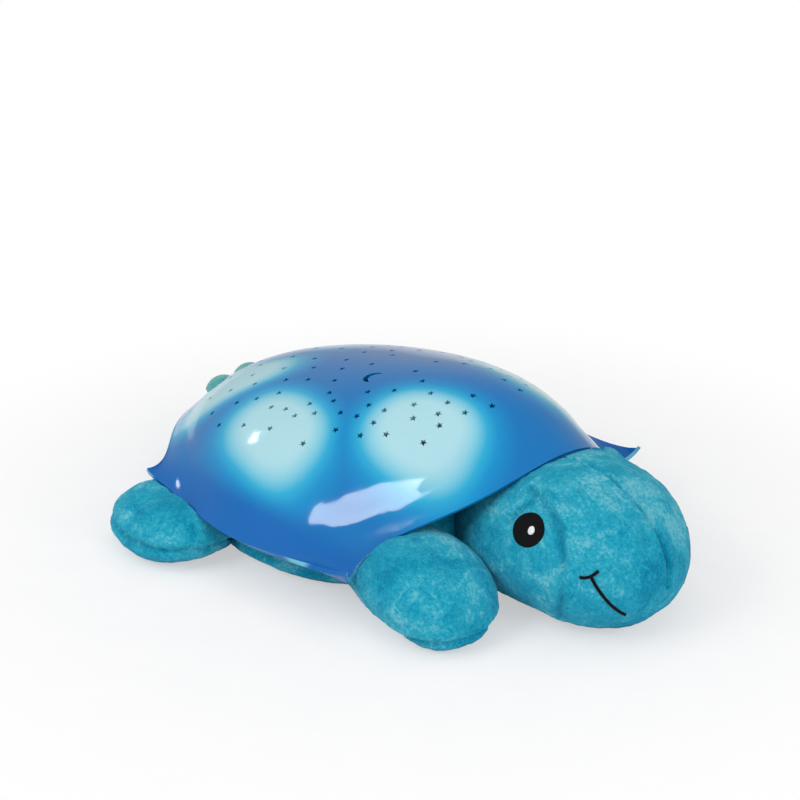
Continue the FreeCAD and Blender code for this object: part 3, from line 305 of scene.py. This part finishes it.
FLOOR_CORNERS = ((-1, -1), (1, -1), (1, 1), (-1, 1))
floor_mesh = bpy.data.meshes.new("floor")
floor_mesh.from_pydata([(FLOOR_EDGE * x, FLOOR_EDGE * y, 0) for x, y in FLOOR_CORNERS], [], [(0, 1, 2, 3)])
floor = add_object("floor", floor_mesh)
wear(floor, floor_look())


# Materials. A noise texture's scale is about how many swells it has along a metre.


def plush_look():
    """Short soft pile: patches where the pile lies one way or the other, over a fine grain."""
    look = Look("plush_teal", Roughness=0.9, Sheen_Weight=0.14, Sheen_Roughness=0.4,
                Sheen_Tint=linear(190, 232, 240), Specular_IOR_Level=0.15)
    patches = look.noise(30, 2.5, 0.55, warp=0.6)
    blotches = look.noise(130, 4, 0.68, warp=0.8)
    tufts = look.noise(620, 3, 0.7)
    fibres = look.noise(2000, 2, 0.6, stretch=(1, 1, 0.35))
    nap = look.weighed(patches, 0.55, blotches, 0.45)
    nap = look.span(look.weighed(nap, 0.72, tufts, 0.28), 0.33, 0.67)
    nap = look.weighed(nap, 0.8, fibres, 0.3, clamp=True)
    look.feed(Base_Color=look.ramp(nap, (0.05, linear(0, 120, 160)), (0.34, linear(8, 156, 192)),
                                   (0.66, linear(48, 180, 208)), (0.95, linear(126, 210, 226))))
    soft = look.bump(tufts, 0.8, 1.5 * MM)
    look.feed(Normal=look.bump(fibres, 0.8, 0.7 * MM, soft))
    return look


# The pale cells of the shell are ovals, seen from above, the same on both sides. Each has its middle's x
# and distance from the midline, its turn in degrees, and its half length and half width. Lengths are in
# millimetres.
PALE_CELLS = ((61, 40, -8, 33, 22), (-14, 70, 14, 38, 22), (-84, 40, -38, 34, 21))
CELL_SQUARENESS = 2.4
CLOUDING = 0.12


def shell_look():
    """Glossy clouded plastic: pale cells that fade into deep blue bands, and a deeper rim."""
    look = Look("shell_clouded", Roughness=0.1, Coat_Weight=0.25, Coat_Roughness=0.02, IOR=1.42)
    x, y, z = look.axes()
    side = look.math("ABSOLUTE", y)

    def reach(length, half):
        share = look.math("ABSOLUTE", look.math("DIVIDE", length, half * MM))
        return look.math("POWER", share, CELL_SQUARENESS)

    def cell(middle_x, middle_y, turned, along, across):
        """A share that falls softly from 1 in the middle of an oval to 0 far outside it."""
        east = look.math("SUBTRACT", x, middle_x * MM)
        north = look.math("SUBTRACT", side, middle_y * MM)
        cos, sin = math.cos(math.radians(turned)), math.sin(math.radians(turned))
        out = look.plus(reach(look.weighed(east, cos, north, sin), along),
                        reach(look.weighed(north, cos, east, -sin), across))
        return look.math("DIVIDE", 1.0, look.plus(look.times(out, out), 1.0))

    pale = cell(*PALE_CELLS[0])
    for oval in PALE_CELLS[1:]:
        pale = look.math("MAXIMUM", pale, cell(*oval))
    cloud = look.math("SUBTRACT", look.noise(14, 2, 0.5), 0.5)
    pale = look.plus(pale, look.times(cloud, CLOUDING))
    shade = look.ramp(pale, (0.1, linear(0, 118, 190)), (0.3, linear(0, 146, 206)),
                      (0.48, linear(40, 174, 216)), (0.68, linear(126, 204, 226)),
                      (0.92, linear(176, 223, 233)))
    # The brim is deeper in colour: what is low on the shell and far out to the side.
    low = look.span(z, 50 * MM, 36 * MM)
    wide = look.span(look.weighed(side, 0.62, z, -0.55), 30 * MM, 44 * MM)
    shade = look.mix(look.times(low, wide), shade, linear(0, 104, 184))
    # The cut edge round the brim stands upright, and is paler because it lets light through.
    facing = look.axes(look.node("TexCoord").outputs["Normal"])
    upright = look.span(look.math("ABSOLUTE", facing[2]), 0.3, 0.12)
    corner = look.span(look.weighed(x, 0.6, side, 0.55), 66 * MM, 69 * MM)
    edge = look.math("MAXIMUM", look.span(z, 38 * MM, 35 * MM), corner)
    shade = look.mix(look.times(edge, upright), shade, linear(110, 196, 220))
    look.feed(Base_Color=shade, Normal=look.bump(look.noise(35, 1, 0.4), 0.05, 0.6 * MM))
    return look


def plastic_look(name, colour, other, rough, grain=900.0):
    """Moulded plastic with a fine spark texture and slightly uneven colour."""
    look = Look(name, Roughness=rough)
    look.feed(Base_Color=look.ramp(look.noise(30, 3), (0.3, colour), (0.7, other)))
    look.feed(Normal=look.bump(look.noise(grain, 2), 0.12, 0.1 * MM))
    return look


def steel_look():
    """Plated steel with fine drawn marks."""
    look = Look("plated_steel", Metallic=1.0)
    look.feed(Base_Color=look.ramp(look.noise(160, 3), (0.3, linear(188, 190, 194)),
                                   (0.7, linear(212, 212, 214))))
    look.feed(Roughness=look.span(look.noise(500, 2, stretch=(1, 1, 6)), 0.2, 0.8, 0.18, 0.42))
    return look


def board_look():
    """Green solder mask with copper tracks that show through as paler lines."""
    look = Look("circuit_board", Roughness=0.35, Coat_Weight=0.3)
    line = look.span(look.cell_edges(260), 0.06, 0.1, 1.0, 0.0)
    base = look.ramp(look.noise(60, 3), (0.3, linear(10, 84, 44)), (0.7, linear(16, 98, 52)))
    look.feed(Base_Color=look.mix(look.times(line, 0.7), base, linear(46, 138, 74)))
    look.feed(Normal=look.bump(line, 0.3, 0.1 * MM))
    return look


def jelly_look(name, colour, other):
    """Translucent coloured plastic."""
    look = Look(name, Roughness=0.12, Transmission_Weight=0.35, IOR=1.46, Coat_Weight=0.4)
    look.feed(Base_Color=look.ramp(look.noise(120, 2), (0.3, colour), (0.7, other)))
    look.feed(Normal=look.bump(look.noise(300, 2), 0.06, 0.2 * MM))
    return look


def cell_jacket_look():
    """The printed foil round a battery, with faint rings."""
    look = Look("cell_jacket", Metallic=0.75)
    rings = look.waves(55, "X", 0.2)
    look.feed(Base_Color=look.ramp(rings, (0.45, linear(58, 62, 70)), (0.55, linear(78, 84, 94))))
    look.feed(Roughness=look.span(look.noise(300, 2), 0.3, 0.7, 0.28, 0.42))
    return look


def tape_look():
    """Hook-and-loop tape: rows of small hooks or loops on a woven ground."""
    look = Look("hook_tape", Roughness=0.9, Sheen_Weight=0.3)
    rows = look.times(look.waves(130, "X", 0.6), look.waves(130, "Y", 0.6))
    look.feed(Base_Color=look.ramp(rows, (0.15, linear(8, 74, 104)), (0.6, linear(30, 120, 150))))
    look.feed(Normal=look.bump(look.plus(rows, look.noise(1300, 2)), 0.9, 0.6 * MM))
    return look


def thread_look(name, colour, other):
    """Satin stitches: fine threads side by side."""
    look = Look(name, Roughness=0.75, Specular_IOR_Level=0.2)
    threads = look.weighed(look.waves(620, "DIAGONAL", 1.6), 0.7, look.noise(1800, 2), 0.3)
    look.feed(Base_Color=look.ramp(threads, (0.2, colour), (0.85, other)))
    look.feed(Normal=look.bump(threads, 0.55, 0.35 * MM))
    return look


PLUSH = plush_look()
SHELL = shell_look()
BUTTON = jelly_look("button_jelly", linear(108, 214, 206), linear(126, 222, 214))
TUB = plastic_look("tub_plastic", linear(164, 206, 218), linear(176, 214, 224), 0.45)
WHITE = plastic_look("white_plastic", linear(226, 226, 220), linear(234, 234, 230), 0.4)
BLACK = plastic_look("black_plastic", linear(26, 26, 28), linear(38, 38, 42), 0.4, 1200.0)
CABLE = plastic_look("cable_plastic", linear(186, 188, 194), linear(206, 208, 212), 0.35, 500.0)
BOARD = board_look()
STEEL = steel_look()
JACKET = cell_jacket_look()
TAPE = tape_look()
EYE_BLACK = thread_look("eye_black", linear(4, 4, 5), linear(20, 19, 22))
EYE_WHITE = thread_look("eye_white", linear(238, 240, 242), linear(254, 254, 254))

FINISHES = {
    "shell_cover": SHELL, "base_tub": TUB, "clamp_ring": TUB, "battery_door": TUB, "lamp_board": BOARD,
    "button_board": BOARD, "timer_chip": BLACK, "light_cup": WHITE, "ribbon_cable": CABLE,
    "contact_springs": STEEL, "contact_plates": STEEL, "shell_screws": STEEL, "ring_screws": STEEL,
    "lamp_board_screws": STEEL, "button_board_screws": STEEL, "door_screw": STEEL,
    "led_blue": jelly_look("clear_blue", linear(70, 110, 240), linear(90, 130, 245)),
    "led_green": jelly_look("clear_green", linear(70, 215, 120), linear(90, 225, 140)),
    "led_amber": jelly_look("clear_amber", linear(245, 170, 60), linear(250, 185, 80)),
}
for side_name in SIDES:
    FINISHES["button_" + side_name] = BUTTON
    FINISHES["plunger_" + side_name] = BLACK
    FINISHES["switch_" + side_name] = BLACK
    FINISHES["battery_" + side_name] = JACKET
for node_name, finish in FINISHES.items():
    wear(node_name, finish)


# Mesh helpers.


def applied(thing):
    """Make the thing's modifiers permanent in its mesh."""
    bpy.context.view_layer.update()
    seen = thing.evaluated_get(bpy.context.evaluated_depsgraph_get())
    mesh = bpy.data.meshes.new_from_object(seen)
    thing.modifiers.clear()
    thing.data = mesh


def vectors_of(items, field):
    """The rows of x, y and z that a mesh holds for each vertex."""
    flat = np.empty(len(items) * 3, np.float32)
    items.foreach_get(field, flat)
    return flat.reshape(-1, 3).astype(float)


def shade_smooth(mesh):
    mesh.polygons.foreach_set("use_smooth", [True] * len(mesh.polygons))


def smooth_object(name, vertices, faces):
    mesh = bpy.data.meshes.new(name)
    mesh.from_pydata(vertices, [], faces)
    mesh.validate()
    mesh.update()
    shade_smooth(mesh)
    return add_object(name, mesh)


def tree_of(mesh):
    corners = [vertex.co.copy() for vertex in mesh.vertices]
    return BVHTree.FromPolygons(corners, [tuple(face.vertices) for face in mesh.polygons])


def seen_on(tree, x, y):
    """The point of a surface, and its normal, that the picture shows at x and y."""
    place, normal, _, _ = tree.ray_cast(VIEW_FROM, ray_through(x, y))
    if place is None:
        raise ValueError("nothing at %d, %d" % (x, y))
    return place, normal


def bumps(points, wave, seed):
    """Smooth noise at each point, of about the given wavelength in millimetres."""
    shift = Vector((seed * 7.3, seed * 3.1, seed * 5.7))
    return np.array([noise.noise(Vector(p) / (wave * MM) + shift) for p in points])


def bell(away, width):
    """A share that is 1 at no distance and falls off within the given width in millimetres."""
    return np.exp(-(away / (width * MM)) ** 2)


# Stuffed pieces. Each starts as the form that its CAD solid gives, is remeshed and rounded, and gets
# its seams and the unevenness of a short pile. Heights, depths, widths and waves are in millimetres.

PILE = 0.35
SWELL_WAVE = 26
DIMPLES = ((0.30, 7), (0.20, 2.6))
SEAM_DEPTH = 2.8
SEAM_WIDTH = 1.7
SHOULDER_HEIGHT = 0.7
SHOULDER_AWAY = 4.0
SHOULDER_WIDTH = 2.0
PUCKER_HEIGHT = 0.5
PUCKER_WIDTH = 5
PUCKER_WAVE = 4
FLOOR_GAP = 0.2
FLOOR_UNEVEN = 0.1
FLOOR_WAVE = 3


def stuffed(node, voxel, rounding, seam, lumps):
    """A soft copy of a CAD solid. seam takes points and gives how far each lies from a sewn line."""
    thing = add_object(node + "_plush", NODES[node].data.copy())
    remesh = thing.modifiers.new("remesh", "REMESH")
    remesh.mode = "VOXEL"
    remesh.voxel_size = voxel * MM
    smooth = thing.modifiers.new("smooth", "SMOOTH")
    smooth.factor = 0.5
    smooth.iterations = rounding
    applied(thing)
    finer = thing.modifiers.new("finer", "SUBSURF")
    finer.levels = 1
    applied(thing)
    mesh = thing.data
    points = vectors_of(mesh.vertices, "co")
    out = vectors_of(mesh.vertex_normals, "vector")
    push = PILE * MM + lumps * MM * bumps(points, SWELL_WAVE, 1)
    for seed, (height, wave) in enumerate(DIMPLES, 2):
        push += height * MM * bumps(points, wave, seed)
    away = seam(points)
    push -= SEAM_DEPTH * MM * bell(away, SEAM_WIDTH)
    push += SHOULDER_HEIGHT * MM * bell(np.abs(away) - SHOULDER_AWAY * MM, SHOULDER_WIDTH)
    push += PUCKER_HEIGHT * MM * bell(away, PUCKER_WIDTH) * bumps(points, PUCKER_WAVE, 4)
    points = points + out * push[:, None]
    floor_level = FLOOR_GAP * MM + FLOOR_UNEVEN * MM * bumps(points, FLOOR_WAVE, 5)
    points[:, 2] = np.maximum(points[:, 2], floor_level)
    mesh.vertices.foreach_set("co", points.astype(np.float32).ravel())
    mesh.update()
    shade_smooth(mesh)
    wear(thing, PLUSH)
    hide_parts(node)
    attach(thing, ROOT)
    return thing


def level_seam(height):
    """A seam in a nearly level plane, as where a flipper's upper and lower panels meet."""
    def away(points):
        along = 1.2 * MM * np.sin(points[:, 0] / (17 * MM))
        across = 0.8 * MM * np.sin(points[:, 1] / (11 * MM))
        return points[:, 2] - height * MM - (along + across)
    return away


def from_line(points, line):
    """How far each point lies from a line of segments."""
    nearest = np.full(len(points), 1.0)
    for one, two in zip(line, line[1:]):
        along = two - one
        share = np.clip((points - one) @ along / (along @ along), 0, 1)
        nearest = np.minimum(nearest, np.linalg.norm(points - one - share[:, None] * along, axis=1))
    return nearest


# The cheek seam ahead of the eye, and the crease over it, by points of the picture.
CHEEK_SEAM = [(530, 489), (543, 502), (553, 514), (560, 530), (563, 560), (561, 600), (558, 616)]
BROW_CREASE = [(508, 521), (514, 515), (522, 508.6), (530, 503), (539, 500.6)]
plain_head = tree_of(NODES["plush_head"].data)
CHEEK_LINE = [np.array(seen_on(plain_head, x, y)[0]) for x, y in CHEEK_SEAM]
BROW_LINE = [np.array(seen_on(plain_head, x, y)[0]) for x, y in BROW_CREASE]
TOP_SEAM_FROM = 25
TOP_SEAM_NARROWER = 1.5


def head_seams(points):
    """The seam along the top of the head, the one down each cheek and the crease over each eye."""
    middle = np.where(points[:, 2] > TOP_SEAM_FROM * MM, np.abs(points[:, 1]), 1)
    folded = np.column_stack([points[:, 0], -np.abs(points[:, 1]), points[:, 2]])
    cheek = from_line(folded, CHEEK_LINE)
    brow = from_line(folded, BROW_LINE)
    return np.minimum(np.minimum(middle * TOP_SEAM_NARROWER, cheek), brow)


# Each stuffed piece's voxel in millimetres, its rounds of smoothing, its seams and its lumps' height.
STUFFED = {
    "plush_body": (2.6, 5, level_seam(11), 0.7),
    "plush_head": (1.7, 6, head_seams, 0.8),
    "front_flipper_right": (1.5, 8, level_seam(7), 0.9),
    "front_flipper_left": (1.7, 8, level_seam(7), 0.9),
    "rear_flipper_right": (1.5, 8, level_seam(13), 0.9),
    "rear_flipper_left": (1.7, 8, level_seam(13), 0.9),
    "tail": (1.0, 5, level_seam(8), 0.4),
}
plush = {node: stuffed(node, *how) for node, how in STUFFED.items()}


# The face: an embroidered eye on each side, and a stitched smile round the front of the head.
# The left side's pieces are the right side's, mirrored.

HEAD = tree_of(plush["plush_head"].data)
STITCH_PITCH = 0.45
STITCH_RIDGE = 0.05
PATCH_EDGE = -0.4


def as_seen(spot):
    return spot


def mirrored(spot):
    """The same place on the left side of the head, which is a little uneven, with its own normal."""
    place, normal, _, _ = HEAD.find_nearest(Vector((spot[0].x, -spot[0].y, spot[0].z)))
    return place, normal


def on_head(thing, look):
    """Finish a piece of embroidery that rides on the head."""
    wear(thing, look)
    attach(thing, ROOT)


def stitched_patch(name, middle, out, wide, high, tilt, thick, look, rows=26, spokes=72):
    """An oval of satin stitches that follows the head: a low crown with a soft edge. Sizes are in mm."""
    across = Vector((0, 0, 1)).cross(out).normalized()
    upward = out.cross(across).normalized()
    turned_across = across * math.cos(tilt) + upward * math.sin(tilt)
    turned_up = upward * math.cos(tilt) - across * math.sin(tilt)
    vertices = []
    faces = []
    for row in range(rows + 1):
        share = row / rows
        crown = thick * MM * (1 - share ** 6) ** 0.5 if share < 1 else PATCH_EDGE * MM
        for spoke in range(spokes):
            angle = 2 * math.pi * spoke / spokes
            spot = middle + turned_across * (wide * MM * share * math.cos(angle))
            spot = spot + turned_up * (high * MM * share * math.sin(angle))
            found = HEAD.ray_cast(spot + out * 0.02, -out)
            base, normal = (found[0], found[1]) if found[0] is not None else (spot, out)
            ridge = STITCH_RIDGE * MM * math.sin(spot.dot(turned_across) / (STITCH_PITCH * MM) * math.pi)
            vertices.append(base + normal.lerp(out, 0.7).normalized() * (crown + ridge))
    for row in range(rows):
        for spoke in range(spokes):
            after = (spoke + 1) % spokes
            faces.append((row * spokes + spoke, row * spokes + after,
                          (row + 1) * spokes + after, (row + 1) * spokes + spoke))
    on_head(smooth_object(name, vertices, faces), look)


# The middles of the eye and of its glint, and the points of the smile and of the tick at its end, in
# the picture.
EYE_AT = (528, 530)
GLINT_AT = (532, 530.5)
SMILE = [(590.5, 576), (596, 586), (603, 596), (610, 604), (618, 610.5), (625, 614.5)]
TICK = [(579.5, 577.5), (585.5, 577.8), (591.5, 576), (598.5, 571)]
EYE_TILT = 0.35
# How far the eye turns from the head's own slope there: forwards, sideways and up.
EYE_TURN = Vector((0.2, -0.9, 0.15))

eye = seen_on(HEAD, *EYE_AT)
glint = seen_on(HEAD, *GLINT_AT)
for name, flip, sign in (("right", as_seen, 1), ("left", mirrored, -1)):
    eye_at, eye_out = flip(eye)
    outward = (eye_out + Vector((EYE_TURN.x, EYE_TURN.y * sign, EYE_TURN.z))).normalized()
    stitched_patch("eye_" + name, eye_at, outward, 8.9, 8.2, sign * EYE_TILT, 0.8, EYE_BLACK)
    stitched_patch("glint_" + name, flip(glint)[0], outward, 1.9, 2.2, 0, 1.3, EYE_WHITE, 10, 32)


def stitch_line(name, spots, radius, lift):
    """A thick embroidered line that lies on the head through the given points. Sizes are in mm."""
    curve = bpy.data.curves.new(name, "CURVE")
    curve.dimensions = "3D"
    spline = curve.splines.new("BEZIER")
    spline.bezier_points.add(len(spots) - 1)
    for knot, (spot, normal) in zip(spline.bezier_points, spots):
        knot.co = spot + normal * (lift * MM)
        knot.handle_left_type = knot.handle_right_type = "AUTO"
    curve.bevel_depth = radius * MM
    curve.bevel_resolution = 3
    curve.resolution_u = 12
    curve.use_fill_caps = True
    path = add_object(name, curve)
    mesh = bpy.data.meshes.new_from_object(path.evaluated_get(bpy.context.evaluated_depsgraph_get()))
    bpy.data.objects.remove(path)
    shade_smooth(mesh)
    on_head(add_object(name, mesh), EYE_BLACK)


smile = [seen_on(HEAD, x, y) for x, y in SMILE]
tick = [seen_on(HEAD, x, y) for x, y in TICK]
for name, flip, lift in (("right", as_seen, 0.15), ("left", mirrored, -0.4)):
    stitch_line("smile_" + name, [flip(spot) for spot in smile], 0.78, lift)
    stitch_line("smile_end_" + name, [flip(spot) for spot in tick], 0.74, lift)


# The flap under the belly and its tape. Lengths are in millimetres, and heights are shares of the panel's
# thickness.

PANEL_PITCH = 1.6
LEAST_STEPS = 8
EDGE_FALL = 0.42
WAVE_HEIGHT = 0.05
WAVES_PER_METRE = 90
BINDING_FROM_EDGE = 4.5
BINDING_WIDTH = 0.8


def soft_panel(name, node, look, body, edge, binding=0.0):
    """A flat fabric panel with rolled edges in place of a thin box."""
    low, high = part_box(node)
    size_x, size_y = high.x - low.x, high.y - low.y
    count_x = max(LEAST_STEPS, int(size_x / (PANEL_PITCH * MM)))
    count_y = max(LEAST_STEPS, int(size_y / (PANEL_PITCH * MM)))
    thick = high.z - low.z
    vertices = []
    faces = []
    for layer, up in enumerate((-1, 1)):
        for i in range(count_x + 1):
            for j in range(count_y + 1):
                x = low.x + size_x * i / count_x
                y = low.y + size_y * j / count_y
                rim = min(x - low.x, high.x - x, y - low.y, high.y - y) / MM
                fall = math.exp(-(rim / edge) ** 2) * EDGE_FALL
                roll = math.exp(-((rim - BINDING_FROM_EDGE) / BINDING_WIDTH) ** 2) * binding
                wave = WAVE_HEIGHT * noise.noise(Vector((x, y, layer)) * WAVES_PER_METRE)
                share = 0.5 + (0.5 - fall - roll + wave) * up
                vertices.append((x, y, low.z + thick * min(max(share, 0), 1)))
    stride = count_y + 1
    block = (count_x + 1) * stride
    for i in range(count_x):
        for j in range(count_y):
            a = i * stride + j
            faces.append((a, a + 1, a + stride + 1, a + stride))
            faces.append((block + a, block + a + stride, block + a + stride + 1, block + a + 1))
    ring = [(i, 0) for i in range(count_x)] + [(count_x, j) for j in range(count_y)]
    ring += [(i, count_y) for i in range(count_x, 0, -1)] + [(0, j) for j in range(count_y, 0, -1)]
    spots = [i * stride + j for i, j in ring]
    for one, two in zip(spots, spots[1:] + spots[:1]):
        faces.append((one, two, block + two, block + one))
    thing = smooth_object(name, vertices, faces)
    wear(thing, look)
    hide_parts(node)
    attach(thing, body)
    return thing


flap = soft_panel("belly_flap_cloth", "belly_flap", PLUSH, "flap", 1.3, 0.12)
soft_panel("hook_tape_strip", "hook_strip", TAPE, "flap", 0.5)
soft_panel("loop_tape_strip", "loop_strip", TAPE, ROOT, 0.5)
